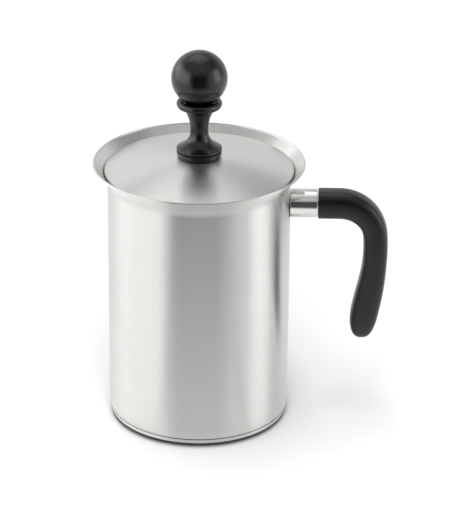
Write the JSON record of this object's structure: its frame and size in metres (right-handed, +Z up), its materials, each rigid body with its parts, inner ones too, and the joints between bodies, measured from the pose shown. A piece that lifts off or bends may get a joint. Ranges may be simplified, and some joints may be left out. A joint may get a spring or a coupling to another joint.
{
  "type": "manual milk frother",
  "caption": "Flared steel jug with a side handle, a domed lid and a ball-topped plunger that pumps wire screens through warm milk to froth it.",
  "frame": {"origin": "centre of the base's flat underside, on the jug's axis", "axes": "+Z up along the jug's axis, +X out along the handle, +Y to the handle's left seen from above"},
  "size_m": [0.1424, 0.1018, 0.1883],
  "materials": {
    "satin_steel": "satin, brushed round the axis",
    "bright_steel": "polished",
    "wire_cloth": "woven stainless wire",
    "aluminium": "rolled disc",
    "brass": "turned",
    "black_plastic": "satin black moulding"
  },
  "bodies": {
    "jug": {"jug_shell": "satin_steel", "base_core": "aluminium", "base_cap": "satin_steel", "handle_boss": "bright_steel", "handle_rod": "bright_steel", "handle_ferrule": "bright_steel", "handle_grip": "black_plastic", "handle_screw": "bright_steel"},
    "lid": {"lid_shell": "satin_steel", "lid_bush": "black_plastic", "lid_bush_nut": "bright_steel"},
    "plunger": {"knob": "black_plastic", "knob_insert": "brass", "plunger_rod": "bright_steel", "rod_collar": "bright_steel", "upper_screen_plate": "bright_steel", "upper_mesh": "wire_cloth", "upper_edge_spring": "bright_steel", "screen_spacer": "bright_steel", "lower_mesh": "wire_cloth", "lower_edge_spring": "bright_steel", "lower_screen_plate": "bright_steel", "bottom_nut": "bright_steel"}
  },
  "joints": [
    {"name": "lid_lift", "type": "slide", "parent": "jug", "child": "lid", "axis": [0, 0, 1], "range_m": [0, 0.14]},
    {"name": "plunger_slide", "type": "slide", "parent": "lid", "child": "plunger", "axis": [0, 0, 1], "range_m": [0, 0.099]}
  ]
}
